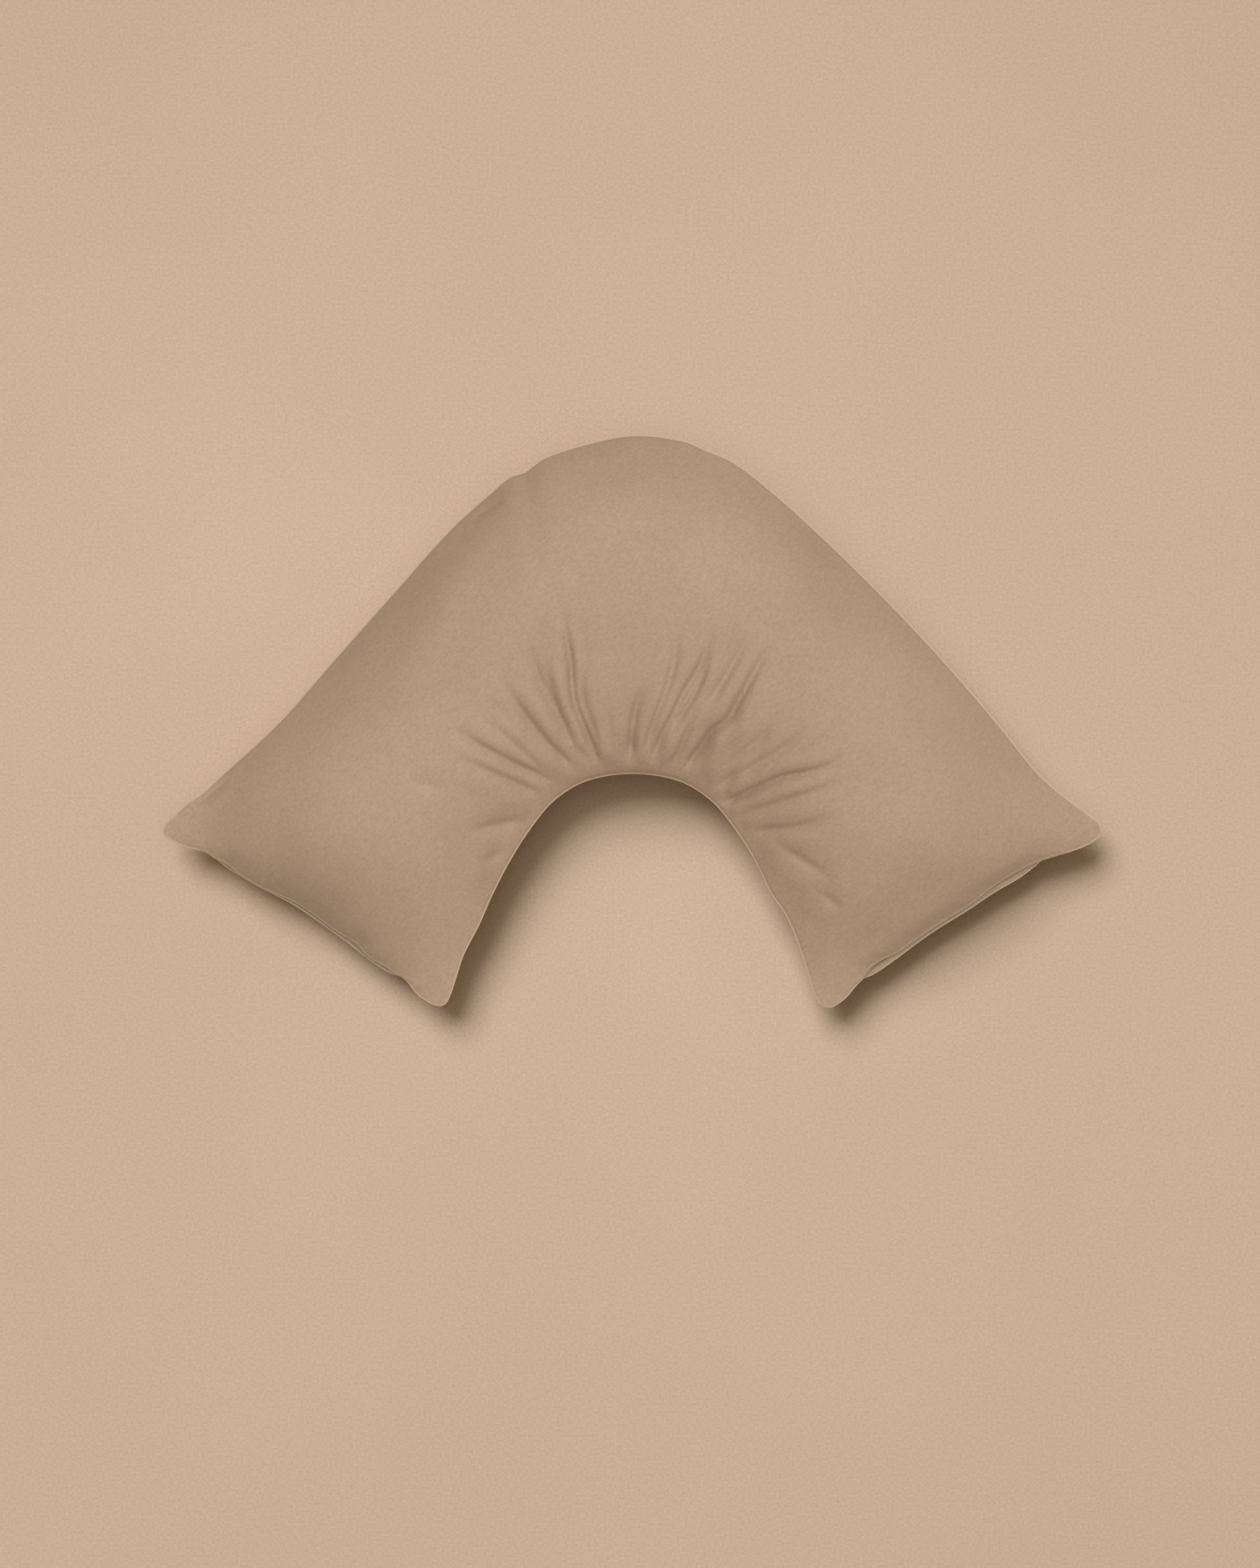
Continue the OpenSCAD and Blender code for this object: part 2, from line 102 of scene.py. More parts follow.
# Folds round the notch, and the last two elsewhere: depth, half width, and points from the outer end to
# the inner one.
FOLDS = [
    (3.6, 3.6, [(-160, -28), (-114, -50), (-88, -62)]),
    (5.0, 3.4, [(-165, -1), (-127, -26), (-80, -50)]),
    (2.6, 3.6, [(-138, 6), (-106, -19), (-84, -38)]),
    (1.8, 3.6, [(-128, 24), (-104, -4)]),
    (4.4, 3.4, [(-118, 42), (-89, -2), (-75, -19), (-56, -39)]),
    (3.6, 4.0, [(-95, 80), (-80, 34), (-63, 0), (-50, -27)]),
    (2.0, 3.2, [(-76, 60), (-70, 24), (-56, -12)]),
    (5.4, 2.8, [(-64, 108), (-54, 51), (-50, 14), (-42, -8), (-33, -30)]),
    (2.8, 4.0, [(-51, 106), (-42, 54), (-44, 27), (-32, -14)]),
    (2.4, 3.6, [(-50, -18), (-38, -38)]),
    (2.4, 4.6, [(-24, 30), (-22, 4), (-20, -28)]),
    (5.4, 3.8, [(12, 36), (3, 10), (0, -10), (-2, -33)]),
    (3.4, 3.2, [(39, 93), (36, 50), (28, 22), (19, 0), (12, -22)]),
    (5.0, 3.3, [(72, 86), (57, 44), (44, 22), (33, 0), (20, -28)]),
    (3.6, 2.4, [(70, 66), (61, 38), (52, 19), (34, -9)]),
    (3.4, 3.0, [(60, 20), (49, -7), (42, -25), (30, -45)]),
    (2.0, 3.6, [(90, 96), (82, 69), (70, 44)]),
    (3.6, 3.6, [(106, 84), (83, 41), (70, 20)]),
    (6.2, 3.2, [(127, 78), (113, 55), (93, 19), (82, 0), (69, -11), (60, -24), (48, -40)]),
    (2.8, 3.6, [(130, 3), (104, -22), (86, -37)]),
    (2.8, 3.8, [(168, 10), (140, -18), (110, -38), (76, -57)]),
    (1.6, 3.6, [(186, 4), (160, -22), (140, -34)]),
    (5.4, 3.0, [(195, -21), (170, -40), (151, -46), (129, -51), (104, -62), (76, -76)]),
    (2.6, 4.0, [(196, -46), (135, -71), (100, -81)]),
    (3.0, 4.0, [(182, -80), (151, -92), (110, -98)]),
    (2.0, 4.4, [(184, -142), (150, -124), (130, -110)]),
    (1.8, 4.0, [(188, -168), (168, -154)]),
    (2.4, 4.6, [(-153, -99), (-120, -93), (-98, -89)]),
    (1.6, 4.6, [(-140, -126), (-112, -116)]),
    (1.6, 4.6, [(-200, -50), (-168, -60)]),
    (4.2, 3.0, [(-358, -48), (-378, -60), (-390, -69)]),
    (1.6, 2.4, [(-150, 178), (-136, 185), (-120, 192)]),
]


def smooth(x):
    c = np.clip(x, 0, 1)
    return c * c * (3 - 2 * c)


def mix(a, b, f):
    return a + (b - a) * f


def curve(points, steps=24):
    """A smooth curve through points, with the same number of steps between each two of them."""
    p = np.array(points, float)
    gap = np.linalg.norm(np.diff(p, axis=0), axis=1)[:, None]
    slope = np.diff(p, axis=0) / gap
    inner = (slope[:-1] * gap[1:] + slope[1:] * gap[:-1]) / (gap[1:] + gap[:-1])
    tangent = np.vstack([slope[:1], inner, slope[-1:]])
    f = np.linspace(0, 1, steps, endpoint=False)[None, :, None]
    a, b, g = p[:-1, None], p[1:, None], gap[:, None]
    ta, tb = tangent[:-1, None] * g, tangent[1:, None] * g
    line = ((1 + 2 * f) * (1 - f) ** 2 * a + f * (1 - f) ** 2 * ta
            + f * f * (3 - 2 * f) * b + f * f * (f - 1) * tb)
    return np.vstack([line.reshape(-1, p.shape[1]), p[-1:]])


def lengths(line):
    """Distance along a polyline at each of its points."""
    return np.concatenate([[0], np.cumsum(np.linalg.norm(np.diff(line, axis=0), axis=1))])


class Edge:
    """One long edge of the V, from -1 at the left arm's end to 1 at the right arm's end."""

    def __init__(self, left, right):
        steps = 24
        self.line = curve(left[::-1] + right[1:], steps)
        run = lengths(self.line)
        middle = run[(len(left) - 1) * steps]
        self.half = run[-1] / 2
        self.s = np.where(run < middle, run / middle - 1, (run - middle) / (run[-1] - middle))

    def at(self, s):
        return np.stack([np.interp(s, self.s, self.line[:, k]) for k in (0, 1)], axis=-1)


outer = Edge(OUTER_LEFT, OUTER_RIGHT)
notch = Edge(NOTCH_LEFT, NOTCH_RIGHT)


class End:
    """An arm's end: its frame has x along the line between the ears and y into the pillow."""

    def __init__(self, sign, profile, back):
        inner, outer_tip = notch.at(sign), outer.at(sign)
        self.chord = np.linalg.norm(outer_tip - inner)
        self.u = (outer_tip - inner) / self.chord
        self.v = np.array([-self.u[1], self.u[0]]) * sign
        self.middle = (outer_tip + inner) / 2
        self.profile = curve(profile, 12)
        self.back = curve(back, 12)

    def drawn_in(self, x):
        return np.interp(x, self.profile[:, 0], self.profile[:, 1])

    def stands_back(self, x):
        return np.interp(x, self.back[:, 0], self.back[:, 1])


ENDS = {-1: End(-1, END_LEFT, BACK_LEFT), 1: End(1, END_RIGHT, BACK_RIGHT)}


def place_along(s, t):
    """Place along the line between the ears of the nearer end."""
    return (t - 0.5) * np.where(s < 0, ENDS[-1].chord, ENDS[1].chord)


def from_end(s, t):
    """Distance from the nearer arm's end."""
    return (1 - np.abs(s)) * mix(notch.half, outer.half, t)


def width_at(s):
    return np.linalg.norm(outer.at(s) - notch.at(s), axis=-1)


def from_edge(s, t):
    """Distance from the nearest edge of the panel."""
    return np.minimum(np.minimum(t, 1 - t) * width_at(s), from_end(s, t))


def opening(s, t):
    """1 along the opening between the lips, and 0 at the ears."""
    return smooth((OPENING / 2 + OPENING_ENDS - np.abs(place_along(s, t))) / OPENING_ENDS)


def half_gap(s, t):
    return CLOSED_GAP + (OPEN_GAP - CLOSED_GAP) * opening(s, t) * smooth(1 - from_end(s, t) / EAR_DEPTH)


def plan(side, s, t):
    """Place on the ground at s along the V and t across it, from 0 at the notch to 1 at the outer edge."""
    p = mix(notch.at(s), outer.at(s), t[..., None])
    x = place_along(s, t)
    deep = from_end(s, t)
    for sign, end in ENDS.items():
        pull = end.drawn_in(x) * smooth(1 - deep / EAR_DEPTH)
        if side == TOP:
            pull = pull + end.stands_back(x) * smooth(1 - deep / LIP_FRONT)
        p = p + np.where(s * sign > 0, pull, 0)[..., None] * end.v
    return p


def seam_z(s):
    return mix(SEAM_MID, SEAM_END, s * s)


def fullness(s, t):
    """Height of the fabric above or below its seam."""
    p = mix(notch.at(s), outer.at(s), t[..., None])
    steep = mix(STEEP_MID, STEEP_END, smooth(np.abs(s) / 0.4))
    rise = (1 - (1 - np.clip(t / PEAK, 0, 1)) ** ROUND) ** steep
    fall = (1 - (1 - np.clip((1 - t) / (1 - PEAK), 0, 1)) ** ROUNDER) ** 1.05
    section = np.where(t < PEAK, rise, fall)
    pinch = smooth(from_edge(s, t) / PINCH)
    roll = (1 - (1 - np.clip(from_end(s, t) / END_ROLL, 0, 1)) ** ROUNDER) ** 0.9
    ears = 1
    for sign in ENDS:
        near = s * sign > 0
        for tip in (outer.at(sign), notch.at(sign)):
            away = np.clip(np.linalg.norm(p - tip, axis=-1) / EAR_FADE, 0, 1)
            ears = ears * np.where(near, np.sqrt(1 - (1 - away) ** ROUNDER), 1)
    return mix(CROWN_MID, CROWN_END, s * s) * section * pinch * roll * ears


def plain_skin(side, s, t):
    """The fabric's outer face before it is inflated and creased."""
    p = plan(side, s, t)
    gap = half_gap(s, t)
    reach = fullness(s, t)
    if side == BOTTOM:
        reach = np.minimum(reach, seam_z(s) - gap - HEM)
    return np.concatenate([p, (seam_z(s) + side * (gap + HEM + reach))[..., None]], axis=-1)


# ---------------------------------------------------------------- grids

def ruler(count, density):
    """Positions from 0 to 1 that stand closer together where the density is high."""
    x = np.linspace(0, 1, 4001)
    d = density(x)
    total = np.concatenate([[0], np.cumsum((d[1:] + d[:-1]) / 2)])
    return np.interp(np.linspace(0, total[-1], count + 1), total, x)


def along_density(x):
    s = 2 * x - 1
    return 1 + 0.7 * np.exp(-(s / 0.42) ** 2) + 3 * np.exp(-((1 - np.abs(s)) / 0.025) ** 2)


def across_density(x):
    edges = np.exp(-(x / 0.03) ** 2) + np.exp(-((1 - x) / 0.03) ** 2)
    return 1 + 0.5 * np.exp(-(x / 0.35) ** 2) + 3 * edges


def grid_lines(along, across):
    s = 2 * ruler(along, along_density) - 1
    t = ruler(across, across_density)
    return np.meshgrid(s, t, indexing="ij")


def grid_faces(n, m, start=0, flip=False):
    i, j = np.meshgrid(np.arange(n), np.arange(m), indexing="ij")
    a = start + i * (m + 1) + j
    quads = np.stack([a, a + m + 1, a + m + 2, a + 1], axis=-1).reshape(-1, 4)
    return quads[:, ::-1] if flip else quads


def border(n, m):
    """Grid positions once round the border, anticlockwise seen from above."""
    i = np.concatenate([np.arange(n), np.full(m, n), np.arange(n, 0, -1), np.zeros(m, int)])
    j = np.concatenate([np.zeros(n, int), np.arange(m), np.full(n, m), np.arange(m, 0, -1)])
    return i, j


def normals(g):
    d = np.cross(np.gradient(g, axis=0), np.gradient(g, axis=1))
    return d / np.maximum(np.linalg.norm(d, axis=-1, keepdims=True), 1e-9)


# ---------------------------------------------------------------- inflating the cover

COARSE = (112, 32)      # steps of the simulated copy, along the V and across it
SWELL_CAP = 12          # furthest that a point may move
SWELL_FADE = 16         # width of the strip along the edges where the swell fades out
SLACK = 0.05            # share by which the simulated top starts lower than the cover


def evened(field, times=3):
    """The field with its finest waves smoothed out. Its border stays as it is."""
    for _ in range(times):
        inner = field[1:-1, 1:-1]
        near = (field[2:, 1:-1] + field[:-2, 1:-1] + field[1:-1, 2:] + field[1:-1, :-2]) / 4
        field[1:-1, 1:-1] = (inner + near) / 2
    return field


def closed_copy():
    """The cover as one closed coarse surface, slightly slack, with a pinned edge and a pinned base. Gives
    the object, its points, and the index of each grid point of the top and of the underside."""
    n, m = COARSE
    s, t = grid_lines(n, m)
    skins = {side: plain_skin(side, s, t) for side in (TOP, BOTTOM)}
    skins[TOP][..., 2] = mix(seam_z(s), skins[TOP][..., 2], 1 - SLACK)
    edge = np.ones((n + 1, m + 1), bool)
    edge[1:-1, 1:-1] = False
    merged = skins[TOP].copy()
    merged[edge] = (skins[TOP][edge] + skins[BOTTOM][edge]) / 2
    upper = np.arange(edge.size).reshape(n + 1, m + 1)
    lower = upper.copy()
    lower[~edge] = edge.size + np.arange((~edge).sum())
    verts = np.vstack([merged.reshape(-1, 3), skins[BOTTOM][~edge]])
    under = lower.reshape(-1)[grid_faces(n, m, flip=True)]
    mesh = bpy.data.meshes.new("inflate")
    mesh.from_pydata((verts * 0.001).tolist(), [], np.vstack([grid_faces(n, m), under]).tolist())
    obj = bpy.data.objects.new("inflate", mesh)
    bpy.context.scene.collection.objects.link(obj)
    pins = obj.vertex_groups.new(name="pins")
    held = set(upper[edge].tolist()) | set(np.flatnonzero(verts[:, 2] < 0.5).tolist())
    pins.add(sorted(held), 1.0, "ADD")
    return obj, verts, upper, lower


def add_cloth(obj):
    cloth = obj.modifiers.new("cloth", "CLOTH")
    cloth.collision_settings.use_collision = False
    c = cloth.settings
    c.quality = 6
    c.mass = 0.3
    c.tension_stiffness = 20
    c.compression_stiffness = 20
    c.shear_stiffness = 8
    c.bending_stiffness = 0.6
    c.use_pressure = True
    c.uniform_pressure_force = 4
    c.vertex_group_mass = "pins"
    c.effector_weights.gravity = 0


def settled(obj):
    """The object's points in millimetres after 20 frames of simulation. The object is then removed."""
    scene = bpy.context.scene
    for number in range(1, 21):
        scene.frame_set(number)
    shown = obj.evaluated_get(bpy.context.evaluated_depsgraph_get())
    data = shown.to_mesh()
    co = np.zeros(len(data.vertices) * 3)
    data.vertices.foreach_get("co", co)
    shown.to_mesh_clear()
    scene.frame_set(1)
    mesh = obj.data
    bpy.data.objects.remove(obj)
    bpy.data.meshes.remove(mesh)
    return co.reshape(-1, 3) * 1000


def simulate_cover():
    """Inflates the coarse copy with cloth simulation. Gives how far each of its grid points moved, as one
    array for each side."""
    obj, verts, upper, lower = closed_copy()
    add_cloth(obj)
    move = settled(obj) - verts
    s, t = grid_lines(*COARSE)
    rise = np.maximum(0, plain_skin(TOP, s, t)[..., 2] - seam_z(s))
    move[:upper.size, 2] -= SLACK * rise.reshape(-1)
    far = np.linalg.norm(move, axis=1, keepdims=True)
    move = move * np.minimum(1, SWELL_CAP / np.maximum(far, 1e-6))
    print("inflated by up to", round(float(far.max()), 1), "mm; mean", round(float(far.mean()), 1))
    return {TOP: evened(move[upper]), BOTTOM: evened(move[lower])}


def cubic_weights(f):
    return (-0.5 * f + f * f - 0.5 * f ** 3, 1 - 2.5 * f * f + 1.5 * f ** 3,
            0.5 * f + 2 * f * f - 1.5 * f ** 3, -0.5 * f * f + 0.5 * f ** 3)


def sample(field, s, t):
    """A coarse grid's field at any s and t, with cubic interpolation."""
    n, m = COARSE
    lines_s = 2 * ruler(n, along_density) - 1
    lines_t = ruler(m, across_density)
    us = np.interp(s, lines_s, np.arange(n + 1))
    ut = np.interp(t, lines_t, np.arange(m + 1))
    i, j = np.floor(us).astype(int), np.floor(ut).astype(int)
    ws, wt = cubic_weights(us - i), cubic_weights(ut - j)
    total = 0
    for a in range(4):
        for b in range(4):
            tap = field[np.clip(i + a - 1, 0, n), np.clip(j + b - 1, 0, m)]
            total = total + tap * (ws[a] * wt[b])[..., None]
    return total


swell = simulate_cover()


def full_skin(side, s, t):
    """The inflated fabric's outer face, before the folds."""
    g = plain_skin(side, s, t)
    if swell is not None:
        free = smooth(from_edge(s, t) / SWELL_FADE)
        g = g + sample(swell[side], s, t) * free[..., None]
    g[..., 2] = np.maximum(g[..., 2], 0)
    return g


# ---------------------------------------------------------------- folds and ripples

def near_line(p, line):
    """Signed distance of points from a polyline, positive on its left, and the share of its length."""
    run = lengths(line)
    best = np.full(len(p), 1e9)
    signed, share = np.zeros(len(p)), np.zeros(len(p))
    for a, b, ra, rb in zip(line[:-1], line[1:], run[:-1], run[1:]):
        d = b - a
        f = np.clip(((p - a) @ d) / (d @ d), 0, 1)
        off = p - (a + f[:, None] * d)
        away = np.linalg.norm(off, axis=1)
        closer = away < best
        best = np.where(closer, away, best)
        side = np.sign(d[0] * off[:, 1] - d[1] * off[:, 0])
        signed = np.where(closer, away * side, signed)
        share = np.where(closer, mix(ra, rb, f) / run[-1], share)
    return signed, share


INWARD = 14         # length by which each fold runs on towards the notch
FOLD_REACH = 32     # furthest that a fold is felt
FOLD_STRENGTH = 1.3


def fold_depth(p, folds, mirror=1):
    """Height to add at points on the ground for the folds: a valley with a low ridge on each side."""
    total = np.zeros(len(p))
    for deep, half, points in folds:
        line = curve([(mirror * x, y) for x, y in points], 8)
        onward = line[-1] - line[-2]
        line = np.vstack([line, line[-1] + onward / np.linalg.norm(onward) * INWARD])
        lo, hi = line.min(0) - FOLD_REACH, line.max(0) + FOLD_REACH
        hit = np.flatnonzero(((p > lo) & (p < hi)).all(axis=1))
        d, share = near_line(p[hit], line)
        taper = smooth(share / 0.45) * smooth((1 - share) * lengths(line)[-1] / 28)
        d = d / half
        valley = 0.75 * np.exp(-d * d) + 0.3 * np.exp(-(d / 2.6) ** 2)
        ridges = 0.24 * np.exp(-((d - 3.6) / 2.0) ** 2) + 0.16 * np.exp(-((d + 3.9) / 2.2) ** 2)
        total[hit] -= FOLD_STRENGTH * deep * taper * (valley - ridges)
    return total


def wave(x, seed, lengths_of_waves):
    """A smooth wandering value in one dimension, about -1 to 1."""
    rng = np.random.default_rng(seed)
    total = 0
    for w in lengths_of_waves:
        total = total + np.sin(2 * np.pi * (x / w + rng.random())) * rng.uniform(0.6, 1)
    return total / len(lengths_of_waves) ** 0.5


def ripples(side, s, t):
    """Soft radial swells round the notch, and small puckers along the seams."""
    run_notch, run_outer = s * notch.half, s * outer.half
    from_notch, from_outer = t * width_at(s), (1 - t) * width_at(s)
    radial = wave(run_notch + 0.12 * from_notch, 3 + side, (23, 31, 47))
    reach = smooth(from_notch / 16) * smooth((130 - from_notch) / 110) * smooth((0.62 - np.abs(s)) / 0.4)
    pucker = wave(run_notch, 11, (7, 11, 17)) * np.exp(-((from_notch - 6) / 6) ** 2)
    pucker = pucker + wave(run_outer, 12, (9, 14, 23)) * np.exp(-((from_outer - 7) / 7) ** 2)
    at_lip = wave(place_along(s, t), 13, (16, 27, 41)) * np.exp(-((from_end(s, t) - 9) / 8) ** 2)
    slow = wave(run_outer + 0.6 * from_outer, 14 + side, (130, 190))
    slow = slow * wave(from_notch + 0.4 * run_notch, 15, (110, 170))
    calm = smooth(from_notch / 25) * smooth(from_outer / 25) * smooth(from_end(s, t) / 25)
    return 1.3 * radial * reach + 0.35 * pucker + 0.4 * at_lip + 1.4 * slow * calm


def folds_at(side, g):
    """Height the folds add at a grid's points. The underside has fewer and softer folds."""
    flat = g[..., :2].reshape(-1, 2)
    if side == TOP:
        add = fold_depth(flat, FOLDS)
    else:
        add = 0.7 * fold_depth(flat, FOLDS[:20:2], mirror=-1)
    return add.reshape(g.shape[:2])


def cover_skin(side, s, t):
    """The cover's outer face with its folds, which fade out at the edges and where it rests."""
    g = full_skin(side, s, t)
    n = normals(g) * side
    add = folds_at(side, g) + ripples(side, s, t)
    across = np.minimum(t * ARM_WIDTH / 19, (1 - t) * ARM_WIDTH / 10 - 0.1)
    edge_fade = smooth(across) * smooth(from_end(s, t) / 8)
    if side == BOTTOM:
        add = add * smooth((g[..., 2] - 1) / 12)
    g = g + n * (add * edge_fade)[..., None]
    g[..., 2] = np.maximum(g[..., 2], 0)
    return g


# ---------------------------------------------------------------- meshes

def make_mesh(name, verts, faces, material, replaces, uv=None, painted_highlight=None):
    """A piece from points in millimetres. It rides on the cover and stands for CAD nodes."""
    mesh = bpy.data.meshes.new(name)
    listed = [f for block in faces for f in np.asarray(block).tolist()]
    mesh.from_pydata((np.asarray(verts, float) * 0.001).tolist(), [], listed)
    mesh.polygons.foreach_set("use_smooth", [True] * len(mesh.polygons))
    if uv is not None:
        corner = np.zeros(len(mesh.loops), int)
        mesh.loops.foreach_get("vertex_index", corner)
        mesh.uv_layers.new(name="cloth").data.foreach_set("uv", np.asarray(uv)[corner].ravel())
    # This point attribute carries the painted highlight along the seams.
    if painted_highlight is not None:
        mesh.attributes.new("painted_highlight", "FLOAT", "POINT").data.foreach_set("value", painted_highlight.astype(np.float32))
    mesh.materials.append(material)
    obj = bpy.data.objects.new(name, mesh)
    bpy.context.scene.collection.objects.link(obj)
    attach(obj, "cover")
    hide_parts(*replaces)
    return obj


def unrolled(s, t, g):
    """Place of each grid point on the flat cloth, in metres: distances across the V are measured along
    the fabric from the middle of the arm."""
    middle = mix(notch.at(s[:, :1]), outer.at(s[:, :1]), 0.5)
    way = outer.at(s[:, :1]) - notch.at(s[:, :1])
    way = way / np.linalg.norm(way, axis=-1, keepdims=True)
    step = np.linalg.norm(np.diff(g, axis=1), axis=-1)
    run = np.concatenate([np.zeros((len(s), 1)), np.cumsum(step, axis=1)], axis=1)
    centre = np.array([np.interp(0.5, t[0], row) for row in run])[:, None]
    return (middle + way * (run - centre)[..., None]) * 0.001


def inset(layer_in, end_in, s, t):
    """Grid position moved in from the border by distances in millimetres."""
    si = s * (1 - end_in / mix(notch.half, outer.half, t))
    share = layer_in / width_at(si)
    return si, mix(share, 1 - share, t)


def strips(first, second):
    """Quads between two loops of indices of the same length."""
    a, b = np.asarray(first), np.asarray(second)
    return np.stack([a, b, np.roll(b, -1), np.roll(a, -1)], axis=1)


def halving(fine, coarse):
    """Triangles between a loop and one with half as many points."""
    f, c = np.asarray(fine), np.asarray(coarse)
    f0, f1, f2, c1 = f[::2], f[1::2], np.roll(f[::2], -1), np.roll(c, -1)
    return np.vstack([np.stack(x, axis=1) for x in ((f0, c, f1), (f1, c, c1), (f1, c1, f2))])


def flipped(blocks, flip):
    return [b[:, ::-1] for b in blocks] if flip else blocks


def shell(front, rear):
    """Points and faces of a closed piece from its front and rear grids, joined round the border."""
    n, m = front.shape[0] - 1, front.shape[1] - 1
    bi, bj = border(n, m)
    edge = bi * (m + 1) + bj
    skins = (n + 1) * (m + 1)
    faces = [grid_faces(n, m), grid_faces(n, m, skins, flip=True), strips(edge, edge + skins)]
    return np.vstack([front.reshape(-1, 3), rear.reshape(-1, 3)]), faces


# Loops of a cover panel's turned-in edge. Each has an inset and a height from the seam's middle for the
# closed seam, then a depth behind the lip and a height for the upper and the lower lip of the opening.
# The hem runs on to the zip's tape. The lower lip has a ledge, which shows below the upper one.
TO_TAPE = -1
FINE_RIM = [((-0.1, 0.85), (-0.1, 0.85), (-0.1, 0.85)),
            ((0.1, 0.35), (0, 0.45), (0.1, 0.35)),
            ((0.7, 0.05), (0.15, 0.3), (0.7, 0.05))]
COARSE_RIM = [((3.0, 0.05), (0.3, 0.7), (1.5, 0.6)),
              ((5.0, 0.05), (0.45, 1.25), (3.6, 1.35)),
              ((6.0, 0.05), (0.8, 2.6), (5.7, 1.5)),
              ((7.5, 0.05), (1.8, 3.4), (6.6, 3.4)),
              ((9.0, 0.05), (TO_TAPE, 3.6), (TO_TAPE, 3.6)),
              ((9.0, 1.25), (TO_TAPE, 7.0), (TO_TAPE, 7.0)),
              ((8.0, 1.3), (TO_TAPE - 1.1, 7.0), (TO_TAPE - 1.1, 7.0)),
              ((6.0, 1.3), (TO_TAPE - 1.2, 5.2), (TO_TAPE - 1.2, 5.2)),
              ((4.5, 1.3), (4.6, 4.4), (4.6, 4.4)),
              ((3.0, 1.3), (3.2, 3.6), (3.2, 3.6)),
              ((2.6, 1.3), (2.4, 2.9), (2.4, 2.9))]
RIM_BACK = ((2.2, 1.3), (2.0, 2.2), (2.0, 2.2))
ARM_END = np.array([296.5, -175.75])     # middle of the right arm's end, where the zip's frame stands
ARM_COS, ARM_SIN = 249 / 295.70, 159.5 / 295.70


def zip_depth(flat, sign):
    """Depth of points on the ground behind an arm's end, in the zip's own frame."""
    return (flat - ARM_END * [sign, 1]) @ np.array([-ARM_SIN * sign, ARM_COS])


def rim_loop(side, s, t, loop):
    closed, opened = loop[0], loop[1 if side == TOP else 2]
    si, ti = inset(closed[0], closed[0], s, t)
    flat = plan(side, si, ti)
    low = np.concatenate([flat, (seam_z(si) + side * (CLOSED_GAP + closed[1]))[..., None]], axis=-1)
    at_end = np.abs(s) > 0.9999
    lip = plan(side, s, t)
    for sign, end in ENDS.items():
        depth = np.full(s.shape, float(opened[0]))
        if opened[0] <= TO_TAPE:
            depth = TAPE_FRONT - 0.1 - zip_depth(lip, sign) + (opened[0] - TO_TAPE)
        behind = lip + depth[..., None] * end.v
        z = SEAM_END + side * (half_gap(s, t) + opened[1])
        high = np.concatenate([behind, z[..., None]], axis=-1)
        share = np.where(at_end & (s * sign > 0), opening(s, t), 0)[..., None]
        low = mix(low, high, share)
    return low


def cover_panel(name, side, material):
    """A panel of the cover: a fine outer face, a coarser inner face, and the turned-in edge between them."""
    n, m = 400, 160
    nb, mb = n // 2, m // 2
    s, t = grid_lines(n, m)
    sc, tc = s[::2, ::2], t[::2, ::2]
    bi, bj = border(n, m)
    ci, cj = border(nb, mb)
    skin = cover_skin(side, s, t)
    back = (skin - side * FABRIC * normals(skin))[::2, ::2]
    back[ci, cj] = rim_loop(side, sc[ci, cj], tc[ci, cj], RIM_BACK)
    blocks = [skin.reshape(-1, 3), back.reshape(-1, 3)]
    uv = unrolled(s, t, skin)
    uvs = [uv.reshape(-1, 2), uv[::2, ::2].reshape(-1, 2)]
    # Painted highlight: a pale line along every seam. It is full at the outer edge and the ends, about half
    # at the notch, and fades within about two millimetres of the seam.
    painted_highlight_weight = mix(0.55, 1, smooth(t * 4)) * np.exp(-(from_edge(s, t) / 1.15) ** 2)
    # The inner face and the coarse rim get no painted highlight. The fine rim loops get shares of it.
    painted_highlight = [painted_highlight_weight.ravel(), np.zeros(tc.size)]
    painted_highlight += [share * painted_highlight_weight[bi, bj] for share in (1, 0.8, 0.3)]
    painted_highlight.append(np.zeros(len(COARSE_RIM) * len(ci)))
    start = s.size + sc.size
    fine = [bi * (m + 1) + bj]
    for loop in FINE_RIM:
        blocks.append(rim_loop(side, s[bi, bj], t[bi, bj], loop))
        uvs.append(uv[bi, bj] + 0.001 * loop[0][0])
        fine.append(start + np.arange(len(bi)))
        start += len(bi)
    coarse = []
    for loop in COARSE_RIM:
        blocks.append(rim_loop(side, sc[ci, cj], tc[ci, cj], loop))
        uvs.append(uv[::2, ::2][ci, cj] + 0.001 * loop[0][0])
        coarse.append(start + np.arange(len(ci)))
        start += len(ci)
    coarse.append(s.size + ci * (mb + 1) + cj)
    faces = [grid_faces(n, m), grid_faces(nb, mb, s.size, flip=True)]
    faces += [strips(a, b) for a, b in zip(fine[:-1], fine[1:])]
    faces.append(halving(fine[-1], coarse[0]))
    faces += [strips(a, b) for a, b in zip(coarse[:-1], coarse[1:])]
    obj = make_mesh(name + "_fabric", np.vstack(blocks), flipped(faces, side == BOTTOM), material,
                    replaces=[name], uv=np.vstack(uvs), painted_highlight=np.concatenate(painted_highlight))


# Insets of the inner layers and of the seams, from the long edges and from the arms' ends.
CASING_IN = (13, 27)
FILLING_IN = (23.5, 37.5)
COVER_SEAM_IN = (6, 6)
INNER_SEAM_IN = (19, 33)
CASING_DROP, FILLING_DROP = 5.5, 11.5       # how much lower than the cover the layers lie
CASING_CLOTH = 0.8
# Loops of the casing's turned-in edge: extra inset, and height from the seam's middle.
CASING_RIM = ((0, 1.4), (0.3, 0.5), (0.9, 0.1), (9, 0.1), (9, 0.9), (1.6, 1.1))
CASING_BACK = (1.2, 2.2)


